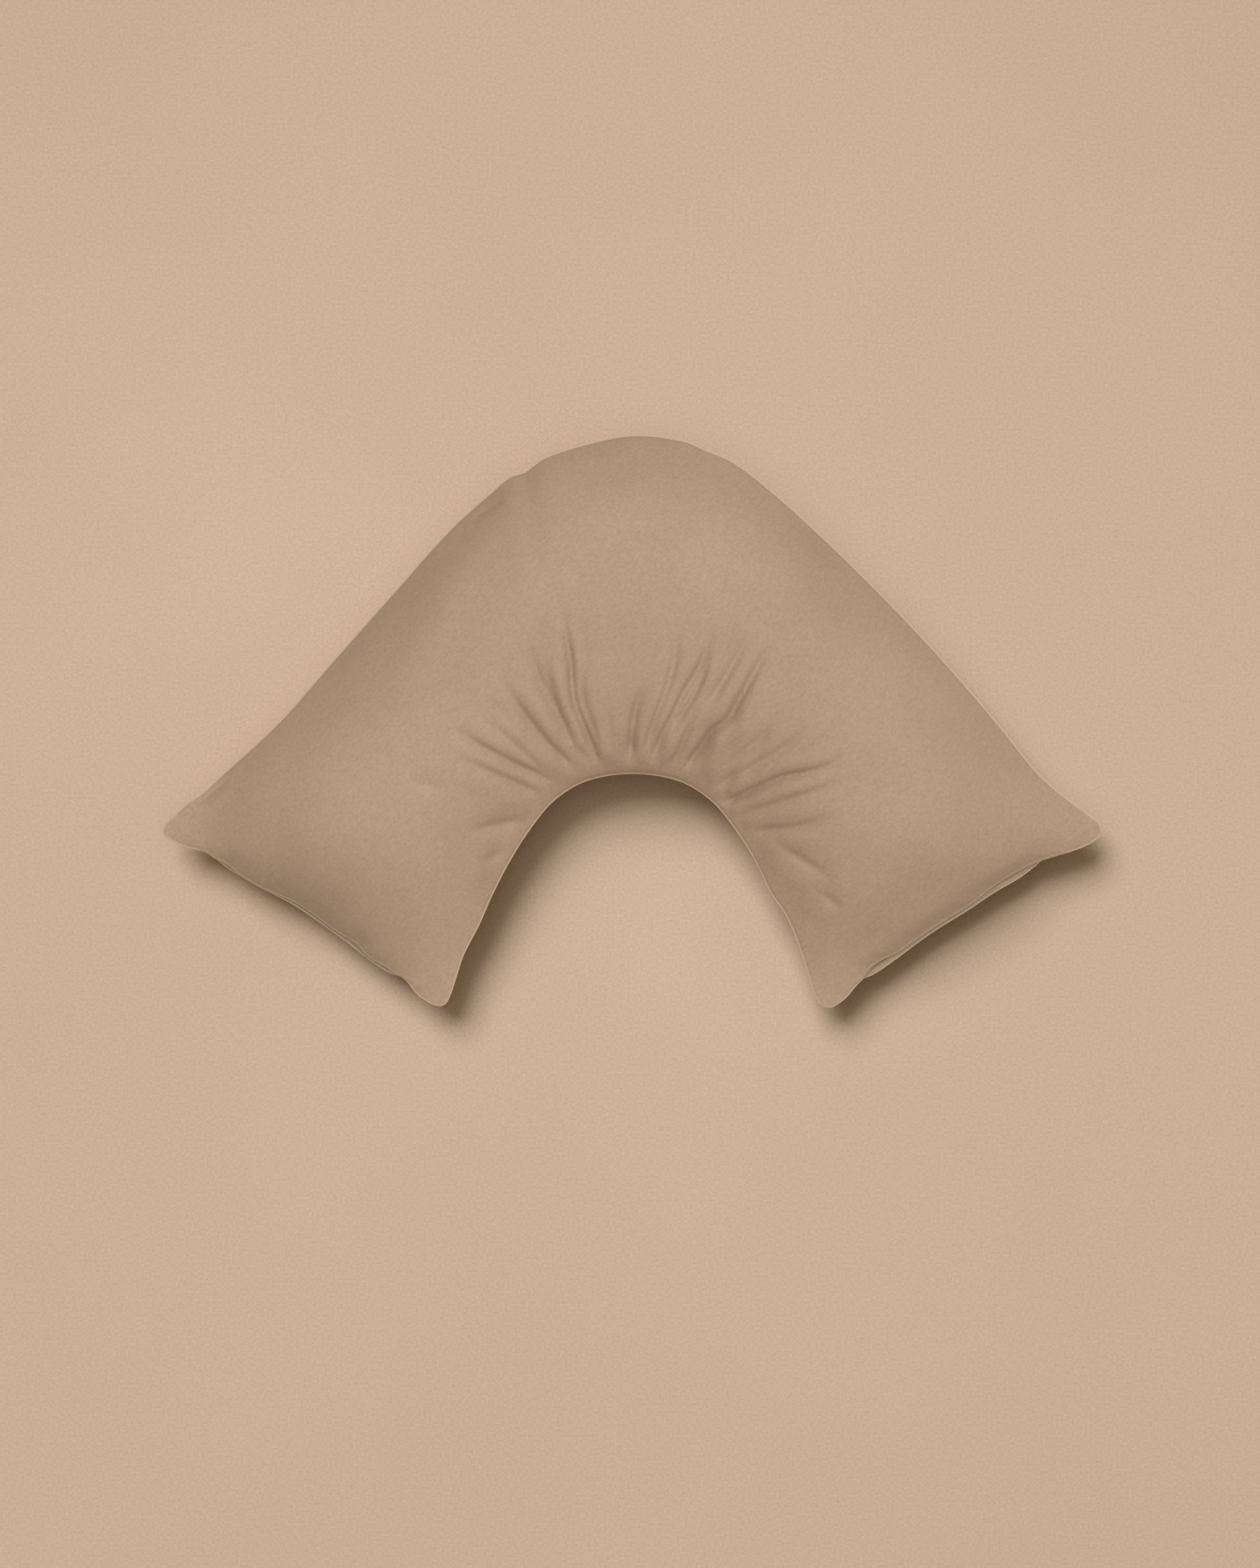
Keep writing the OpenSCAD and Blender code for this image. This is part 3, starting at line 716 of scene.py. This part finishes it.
def layer_skin(side, s, t, insets, drop):
    """The outer face of an inner layer, which closes at its own edges."""
    edge = 3
    si, ti = inset(*insets, s, t)
    g = full_skin(side, si, ti)
    base = seam_z(si)
    reach = np.maximum(0, side * (g[..., 2] - base) - drop - edge)
    close = np.sqrt(np.clip((1 - np.abs(2 * t - 1) ** 6) * (1 - np.abs(s) ** 20), 0, 1))
    g[..., 2] = base + side * (edge + reach * close)
    return g


def pressed(side, g, share):
    """An inner layer pressed in where the cover folds in."""
    return g + normals(g) * (side * share * np.minimum(0, 1.2 * folds_at(side, g)))[..., None]


def casing_loop(side, s, t, deep, high):
    si, ti = inset(CASING_IN[0] + deep, CASING_IN[1] + deep, s, t)
    return np.concatenate([plan(side, si, ti), (seam_z(si) + side * high)[..., None]], axis=-1)


def casing_panel(name, side, material):
    n, m = 200, 64
    s, t = grid_lines(n, m)
    skin = layer_skin(side, s, t, CASING_IN, CASING_DROP)
    lumps = wave(skin[..., 0] + 0.3 * skin[..., 1], 21 + side, (43, 61, 90))
    lumps = lumps * wave(skin[..., 1] - 0.2 * skin[..., 0], 22, (39, 67, 88))
    calm = smooth(np.minimum(t, 1 - t) * 12) * smooth((1 - np.abs(s)) * 9)
    skin[..., 2] -= side * (0.7 * np.abs(lumps) * calm)
    skin = pressed(side, skin, calm)
    back = skin - side * CASING_CLOTH * normals(skin)
    bi, bj = border(n, m)
    back[bi, bj] = casing_loop(side, s[bi, bj], t[bi, bj], *CASING_BACK)
    blocks = [skin.reshape(-1, 3), back.reshape(-1, 3)]
    start = 2 * s.size
    lines = [bi * (m + 1) + bj]
    for deep, high in CASING_RIM:
        blocks.append(casing_loop(side, s[bi, bj], t[bi, bj], deep, high))
        lines.append(start + np.arange(len(bi)))
        start += len(bi)
    lines.append(s.size + lines[0])
    faces = [grid_faces(n, m), grid_faces(n, m, s.size, flip=True)]
    faces += [strips(a, b) for a, b in zip(lines[:-1], lines[1:])]
    obj = make_mesh(name + "_fabric", np.vstack(blocks), flipped(faces, side == BOTTOM), material,
                    replaces=[name])


def filling_skin(side, s, t):
    g = layer_skin(side, s, t, FILLING_IN, FILLING_DROP)
    tufts = wave(g[..., 0], 31, (17, 26, 41)) * wave(g[..., 1], 32 + side, (19, 29, 37))
    calm = smooth(np.minimum(t, 1 - t) * 10) * smooth((1 - np.abs(s)) * 8)
    g[..., 2] -= side * (1.6 * np.abs(tufts) * calm)
    return pressed(side, g, calm)


def filling(material):
    s, t = grid_lines(180, 60)
    verts, faces = shell(filling_skin(TOP, s, t), filling_skin(BOTTOM, s, t))
    obj = make_mesh("filling_tufts", verts, faces, material, replaces=["fibre_filling"])


# ---------------------------------------------------------------- threads

def tube(path, radius, sides=5):
    """Points and faces of a round tube with closed ends. The path never runs straight up."""
    p = np.asarray(path, float)
    ahead = np.roll(p, -1, axis=0) - np.roll(p, 1, axis=0)
    ahead[0], ahead[-1] = p[1] - p[0], p[-1] - p[-2]
    ahead = ahead / np.linalg.norm(ahead, axis=1, keepdims=True)
    right = np.cross(ahead, [0, 0, 1.0])
    right = right / np.maximum(np.linalg.norm(right, axis=1, keepdims=True), 1e-6)
    up = np.cross(right, ahead)
    turn = np.linspace(0, 2 * np.pi, sides, endpoint=False)
    ring = np.cos(turn)[None, :, None] * right[:, None] + np.sin(turn)[None, :, None] * up[:, None]
    verts = (p[:, None] + radius * ring).reshape(-1, 3)
    k = np.arange(len(p) - 1)[:, None] * sides
    c = np.arange(sides)[None, :]
    nxt = (c + 1) % sides
    quads = np.stack([k + c, k + nxt, k + sides + nxt, k + sides + c], axis=-1).reshape(-1, 4)
    return verts, [quads, c[:, ::-1], (len(p) - 1) * sides + c]


def joined(parts):
    verts, faces, start = [], [], 0
    for v, f in parts:
        verts.append(v)
        faces += [np.asarray(block) + start for block in f]
        start += len(v)
    return np.vstack(verts), faces


def resampled(line, step):
    run = lengths(line)
    at = np.linspace(0, run[-1], max(2, int(round(run[-1] / step))) + 1)
    return np.stack([np.interp(at, run, line[:, k]) for k in range(3)], axis=1), at


def lockstitch(line, up, pitch, rise, radius):
    """Two threads along a line, one on each side of the fabric, which meet in the stitch holes."""
    path, at = resampled(line, pitch / 7)
    lift = np.abs(np.sin(np.pi * at / pitch)) ** 0.35
    off = rise * lift[:, None] * np.asarray(up, float)
    return joined([tube(path + sign * off, radius) for sign in (1, -1)])


def seam_line(insets, low, high):
    """Path of the stitches along a seam, through the border positions whose t is from low to high."""
    n, m = 400, 120
    s, t = grid_lines(n, m)
    bi, bj = border(n, m)
    order = np.roll(np.arange(len(bi)), m // 4)
    bs, bt = s[bi, bj][order], t[bi, bj][order]
    keep = (bt >= low) & (bt <= high)
    si, ti = inset(*insets, bs[keep], bt[keep])
    p = (plan(TOP, si, ti) + plan(BOTTOM, si, ti)) / 2
    return np.concatenate([p, seam_z(si)[:, None]], axis=1)


# ---------------------------------------------------------------- zip

COIL_RADIUS, COIL_PITCH, WIRE = 1.1, 1.5, 0.3
COIL_DEPTH, COIL_HIGH = 14.95, 1.6      # middle of a coil, behind the arm's end and from the zip's middle
CHAIN_HALF, TAPE_HALF = 98, 104         # half the length of the coils and of the tapes
TAPE_LOW, TAPE_HIGH = 1.05, 10.55
LABEL_DEPTH, LABEL_THICK, LABEL_BORDER = 21, 0.3, 2.4


def to_world(left, points):
    """Points from the zip's own frame to the pillow's. The CAD's arm end is the same line."""
    p = np.asarray(points, float)
    along, deep = p[:, 0], p[:, 1]
    w = np.stack([along * ARM_COS - deep * ARM_SIN, along * ARM_SIN + deep * ARM_COS, p[:, 2]], axis=1)
    w = w + [*ARM_END, SEAM_END]
    if left:
        w[:, 0] *= -1
    return w


def zip_piece(name, left, verts, faces, material, slot, node):
    make_mesh(name, to_world(left, verts), flipped(faces, left), material, [node])


def zip_coil(side):
    """A spiral of monofilament."""
    x = np.arange(-CHAIN_HALF, CHAIN_HALF, COIL_PITCH / 14)
    turn = 2 * np.pi * x / COIL_PITCH
    reach = COIL_RADIUS - WIRE
    path = np.stack([x, COIL_DEPTH + reach * np.cos(turn), side * COIL_HIGH + reach * np.sin(turn)], axis=1)
    return tube(path, WIRE, 6)


def zip_tape(side):
    """A woven tape with a corded edge beside the coil. It sways a little at its free edge."""
    x, f = np.meshgrid(np.linspace(-TAPE_HALF, TAPE_HALF, 209), np.linspace(0, 1, 15), indexing="ij")
    z = mix(TAPE_LOW, TAPE_HIGH, f)
    bead = 0.12 * np.exp(-((f - 0.06) / 0.05) ** 2) + 0.1 * np.exp(-((f - 0.97) / 0.04) ** 2)
    sway = 0.12 * wave(x + 9 * f, 41 + side, (29, 47)) * f
    front = np.stack([x, 16.1 + sway - bead * 0.4, side * z], axis=-1)
    rear = np.stack([x, 16.5 + sway + bead * 0.6, side * z], axis=-1)
    verts, faces = shell(front, rear)
    return verts, flipped(faces, side == BOTTOM)


def label_piece(name, left, width, height, node, material):
    """A blank fabric label that hangs slightly bowed, with a folded border."""
    x, z = np.meshgrid(np.linspace(-width / 2, width / 2, 41), np.linspace(-height / 2, height / 2, 27),
                       indexing="ij")
    y = LABEL_DEPTH + 0.5 * np.cos(np.pi * x / width) * np.cos(np.pi * z / height)
    near = np.minimum(width / 2 - np.abs(x), height / 2 - np.abs(z))
    fold = 0.12 * smooth((LABEL_BORDER - near) / 0.5)
    verts, faces = shell(np.stack([x, y - fold, z], axis=-1), np.stack([x, y + LABEL_THICK, z], axis=-1))
    zip_piece(name, left, verts, faces, material, "label_tape", node)


# ---------------------------------------------------------------- materials

class Shader:
    """A material's node tree, with short ways to add and join nodes."""

    def __init__(self, name, **values):
        self.material = bpy.data.materials.new(name)
        self.material.use_nodes = True
        self.nodes = self.material.node_tree.nodes
        self.links = self.material.node_tree.links
        self.surface = self.nodes["Principled BSDF"]
        self.solid = self.add("ShaderNodeTexCoord").outputs["Object"]
        for key, value in values.items():
            self.surface.inputs[key.replace("_", " ")].default_value = value

    def add(self, kind, fields=None, **inputs):
        node = self.nodes.new(kind)
        for key, value in (fields or {}).items():
            setattr(node, key, value)
        for key, value in inputs.items():
            self.put(node.inputs[key.replace("_", " ")], value)
        return node

    def put(self, socket, value):
        if hasattr(value, "links"):
            self.links.new(value, socket)
        else:
            socket.default_value = value

    def maths(self, operation, a, b=0.0):
        node = self.nodes.new("ShaderNodeMath")
        node.operation = operation
        self.put(node.inputs[0], a)
        self.put(node.inputs[1], b)
        return node.outputs[0]

    def blend(self, factor, a, b, how="MIX"):
        node = self.add("ShaderNodeMix", {"data_type": "RGBA", "blend_type": how})
        self.put(node.inputs[0], factor)
        self.put(node.inputs[6], a)
        self.put(node.inputs[7], b)
        return node.outputs[2]

    def noise(self, where, scale, detail, roughness):
        return self.add("ShaderNodeTexNoise", Vector=where, Scale=scale, Detail=detail,
                        Roughness=roughness).outputs["Fac"]

    def spread(self, value):
        """Maps a noise's middle range to 0 at its dark end and 1 at its bright one."""
        node = self.add("ShaderNodeMapRange", Value=value, From_Min=0.3, From_Max=0.7)
        return node.outputs["Result"]

    def cloud(self, scale, detail, roughness):
        return self.spread(self.noise(self.solid, scale, detail, roughness))

    def bump(self, height, distance, strength=1.0):
        node = self.add("ShaderNodeBump", Height=height, Distance=distance, Strength=strength)
        self.links.new(node.outputs["Normal"], self.surface.inputs["Normal"])

    def colour(self, value):
        self.links.new(value, self.surface.inputs["Base Color"])


def srgb(r, g, b):
    def line(c):
        c = c / 255
        return c / 12.92 if c <= 0.04045 else ((c + 0.055) / 1.055) ** 2.4
    return (line(r), line(g), line(b), 1)


def rotated(shader, where, angle, scale=(1, 1, 1)):
    node = shader.add("ShaderNodeMapping", Vector=where, Rotation=(0, 0, math.radians(angle)), Scale=scale)
    return node.outputs["Vector"]


def cover_fabric():
    """Fine cotton with a soft brushed face: a small diagonal rib, mottled yarn and a light nap. A painted
    highlight makes it paler along the seams."""
    sh = Shader("cover_fabric", Roughness=0.92, Sheen_Weight=0.16, Sheen_Roughness=0.45,
                Specular_IOR_Level=0.25)
    cloth = sh.add("ShaderNodeUVMap", {"uv_map": "cloth"}).outputs["UV"]
    # The attribute read here is the painted highlight along the seams.
    painted_highlight = sh.add("ShaderNodeAttribute", {"attribute_name": "painted_highlight"}).outputs["Fac"]
    mottle = sh.cloud(380, 4, 0.7)
    flecks = sh.cloud(1000, 2, 0.6)
    patches = sh.cloud(9, 3, 0.55)
    twill = rotated(sh, cloth, -45)
    streak = sh.spread(sh.noise(rotated(sh, twill, 0, (90, 620, 1)), 1, 3, 0.6))
    rib = sh.add("ShaderNodeTexWave", {"wave_type": "BANDS", "bands_direction": "Y"},
                 Vector=twill, Scale=190, Distortion=1.5, Detail=1.0).outputs["Fac"]
    base = sh.blend(patches, srgb(184, 158, 132), srgb(191, 165, 138))
    grain = sh.maths("ADD", sh.maths("MULTIPLY", mottle, 0.5), sh.maths("MULTIPLY", flecks, 0.3))
    grain = sh.maths("ADD", grain, sh.maths("MULTIPLY", streak, 0.2))
    dark = sh.blend(1.0, base, (0.76, 0.76, 0.755, 1), "MULTIPLY")
    pale = sh.blend(1.0, base, (1.17, 1.17, 1.175, 1), "MULTIPLY")
    cotton = sh.blend(grain, dark, pale)
    # Painted highlight: the cotton is mixed towards a pale colour along the seams.
    sh.colour(sh.blend(sh.maths("MULTIPLY", painted_highlight, 0.7), cotton, srgb(228, 206, 180)))
    height = sh.maths("ADD", sh.maths("MULTIPLY", rib, 0.4), grain)
    sh.bump(height, 0.0003, 0.5)
    return sh.material


def thread(name, colour):
    """Twisted sewing thread."""
    sh = Shader(name, Roughness=0.6, Sheen_Weight=0.2)
    twist = sh.add("ShaderNodeTexWave", {"bands_direction": "DIAGONAL"}, Vector=sh.solid, Scale=900,
                   Distortion=1.0).outputs["Fac"]
    sh.colour(sh.blend(twist, colour, tuple(min(1, c * 1.35) for c in colour[:3]) + (1,)))
    sh.bump(twist, 0.0001, 0.6)
    return sh.material


def woven(name, light, dark, scale, roughness=0.85, sheen=0.15):
    """Plain weave: two crossing sets of yarns."""
    sh = Shader(name, Roughness=roughness, Sheen_Weight=sheen)
    warp = sh.add("ShaderNodeTexWave", {"bands_direction": "X"}, Vector=sh.solid, Scale=scale,
                  Distortion=0.6).outputs["Fac"]
    weft = sh.add("ShaderNodeTexWave", {"bands_direction": "Y"}, Vector=sh.solid, Scale=scale,
                  Distortion=0.6).outputs["Fac"]
    cross = sh.maths("MULTIPLY", warp, weft)
    cloud = sh.cloud(60, 3, 0.6)
    tone = sh.maths("ADD", sh.maths("MULTIPLY", cross, 0.7), sh.maths("MULTIPLY", cloud, 0.3))
    sh.colour(sh.blend(tone, dark, light))
    sh.bump(sh.maths("ADD", cross, sh.maths("MULTIPLY", cloud, 0.3)), 0.0002, 0.5)
    return sh.material


def fibre():
    """Loose white polyester fibre."""
    sh = Shader("filling_fibre", Roughness=0.95, Sheen_Weight=0.5)
    strands = sh.noise(sh.solid, 240, 6, 0.75)
    clumps = sh.noise(sh.solid, 30, 3, 0.6)
    both = sh.maths("ADD", sh.maths("MULTIPLY", strands, 0.6), sh.maths("MULTIPLY", clumps, 0.4))
    mixed = sh.spread(both)
    sh.colour(sh.blend(mixed, (0.7, 0.7, 0.69, 1), (0.93, 0.93, 0.92, 1)))
    sh.bump(mixed, 0.001, 0.8)
    return sh.material


def filament():
    """Smooth nylon of the zip's coils."""
    sh = Shader("zip_coil_nylon", Roughness=0.38, Specular_IOR_Level=0.5)
    drawn = sh.cloud(700, 2, 0.5)
    sh.colour(sh.blend(drawn, srgb(150, 122, 96), srgb(168, 140, 113)))
    sh.bump(drawn, 0.00003, 0.4)
    return sh.material


def enamel():
    """Painted zinc of the slider, with slight wear."""
    sh = Shader("zip_enamel", Metallic=0.55, Roughness=0.36)
    cloud = sh.cloud(350, 4, 0.6)
    grain = sh.cloud(2600, 2, 0.5)
    sh.colour(sh.blend(cloud, srgb(158, 132, 106), srgb(182, 156, 130)))
    sh.put(sh.surface.inputs["Roughness"], sh.maths("ADD", 0.3, sh.maths("MULTIPLY", cloud, 0.15)))
    sh.bump(grain, 0.00003, 0.3)
    return sh.material


def floor_material():
    """Pale painted board with a faint grain."""
    sh = Shader("floor", Roughness=0.9, Specular_IOR_Level=0.2)
    fine = sh.cloud(420, 4, 0.65)
    broad = sh.cloud(2.2, 3, 0.5)
    base = sh.blend(broad, srgb(204, 178, 153), srgb(208, 183, 158))
    dark = sh.blend(1.0, base, (0.885, 0.885, 0.885, 1), "MULTIPLY")
    pale = sh.blend(1.0, base, (1.085, 1.085, 1.085, 1), "MULTIPLY")
    sh.colour(sh.blend(fine, dark, pale))
    sh.bump(fine, 0.0002, 0.15)
    return sh.material


# ---------------------------------------------------------------- the pieces

THREAD = thread("sewing_thread", srgb(150, 122, 96))
LINING_THREAD = thread("casing_thread", srgb(222, 219, 208))


def panels():
    cotton = cover_fabric()
    cover_panel("cover_top_panel", TOP, cotton)
    cover_panel("cover_bottom_panel", BOTTOM, cotton)
    lining = woven("casing_cotton", srgb(240, 237, 228), srgb(214, 210, 198), 330)
    casing_panel("inner_casing_top", TOP, lining)
    casing_panel("inner_casing_bottom", BOTTOM, lining)


def seam_threads():
    for name, low, high in (("outer_seam_thread", 0.88, 1), ("notch_seam_thread", 0, 0.12)):
        verts, faces = lockstitch(seam_line(COVER_SEAM_IN, low, high), (0, 0, 1), 3.0, 1.55, 0.2)
        make_mesh(name + "_stitches", verts, faces, THREAD, replaces=[name])
    verts, faces = lockstitch(seam_line(INNER_SEAM_IN, 0, 1), (0, 0, 1), 3.4, 1.1, 0.2)
    make_mesh("inner_seam_thread_stitches", verts, faces, LINING_THREAD,
              replaces=["inner_seam_thread"])


def tape_stitches(side):
    row = np.array([(x, 16.33, side * 8.1) for x in np.linspace(-101, 101, 80)])
    return lockstitch(row, (0, 1, 0), 3.2, 0.34, 0.16)


def zips():
    weave = woven("zip_tape_weave", srgb(172, 145, 119), srgb(136, 110, 86), 520)
    nylon = filament()
    for left, arm in ((True, "left"), (False, "right")):
        for side, place in ((TOP, "upper"), (BOTTOM, "lower")):
            node = f"{arm}_zip_{place}_tape"
            zip_piece(node + "_weave", left, *zip_tape(side), weave, "zip_tape", node)
            node = f"{arm}_zip_{place}_coil"
            zip_piece(node + "_spiral", left, *zip_coil(side), nylon, "zip_coil", node)
        rows = joined([tape_stitches(side) for side in (TOP, BOTTOM)])
        node = f"{arm}_zip_stitching"
        zip_piece(node + "_rows", left, *rows, THREAD, "sewing_thread", node)


def labels():
    satin = woven("label_satin", srgb(244, 243, 238), srgb(224, 222, 214), 700, 0.5, 0.3)
    label_piece("care_label_tag", True, 40, 26, "care_label", satin)
    label_piece("inner_label_tag", False, 34, 22, "inner_label", satin)


def metal_nodes():
    """The slider, its tab and the stops keep their CAD shape, with softened edges."""
    metal = enamel()
    for arm in ("left", "right"):
        for part in ("slider", "pull_tab", "top_stops", "bottom_stop"):
            obj = NODES[f"{arm}_zip_{part}"]
            obj.data.materials.clear()
            obj.data.materials.append(metal)
            edge = obj.modifiers.new("soft_edges", "BEVEL")
            edge.width = 0.00018
            edge.segments = 2
            edge.limit_method = "ANGLE"
            edge.angle_limit = math.radians(40)
            edge.harden_normals = True


panels()
filling(fibre())
seam_threads()
zips()
labels()
metal_nodes()


# ---------------------------------------------------------------- stage, light and camera

def floor():
    mesh = bpy.data.meshes.new("floor")
    half = 60
    corners = [(-half, -half, 0), (half, -half, 0), (half, half, 0), (-half, half, 0)]
    mesh.from_pydata(corners, [], [(0, 1, 2, 3)])
    obj = bpy.data.objects.new("floor", mesh)
    obj.location.z = -0.0004
    bpy.context.scene.collection.objects.link(obj)
    mesh.materials.append(floor_material())
    obj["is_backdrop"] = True
    return obj


def aimed(obj, place, target):
    obj.location = place
    obj.rotation_euler = (Vector(target) - Vector(place)).to_track_quat("-Z", "Y").to_euler()
    bpy.context.scene.collection.objects.link(obj)


def lit(lamp, name, objects):
    """The lamp lights only these objects. Everything still casts its shadow."""
    group = bpy.data.collections.new(name)
    for obj in objects:
        group.objects.link(obj)
    lamp.light_linking.receiver_collection = group


def sun(name, energy, softness, colour, place):
    """A sun that shines on the origin. Its softness is the angle in degrees that it fills in the sky."""
    lamp = bpy.data.lights.new(name, "SUN")
    lamp.energy = energy
    lamp.angle = math.radians(softness)
    lamp.color = colour
    obj = bpy.data.objects.new(name, lamp)
    aimed(obj, place, (0, 0, 0))
    return obj


def light(ground):
    """A soft key from the upper left draws the shadow on the floor, and a softer, steeper one lights
    the pillow. A round box overhead and the room's warm light fill in."""
    key = sun("key", energy=2.86, softness=34, colour=(0.935, 0.96, 1.0), place=(-0.74, 1.27, 1.9))
    lit(key, "lit_by_key", [ground])
    top = sun("top_light", energy=2.11, softness=90, colour=(0.945, 0.957, 1.0), place=(0.2, 0.18, 1.0))
    lit(top, "lit_by_top_light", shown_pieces())
    box = bpy.data.lights.new("overhead", "AREA")
    box.shape = "DISK"
    box.size = 1.2
    box.energy = 3.2
    box.color = (1.0, 1.0, 1.0)
    lamp = bpy.data.objects.new("overhead", box)
    lamp.visible_camera = False
    aimed(lamp, (-0.12, 0.03, 1.3), (-0.12, 0.02, 0))
    world = bpy.data.worlds.new("studio")
    bpy.context.scene.world = world
    world.use_nodes = True
    background = world.node_tree.nodes["Background"]
    background.inputs["Color"].default_value = (1.0, 0.8, 0.54, 1)
    background.inputs["Strength"].default_value = 0.18


def camera():
    """Straight above the pillow, with the whole frame 1.4 m tall at the height of the seam."""
    height, tall = 2.6, 1.4014
    cam = bpy.data.cameras.new("camera")
    cam.sensor_width = 36
    cam.lens = 36 * height / tall
    obj = bpy.data.objects.new("camera", cam)
    obj.location = (-0.0023, -0.055, height + 0.05)
    bpy.context.scene.collection.objects.link(obj)
    bpy.context.scene.camera = obj


light(floor())
camera()
bpy.context.scene.view_settings.view_transform = "Standard"
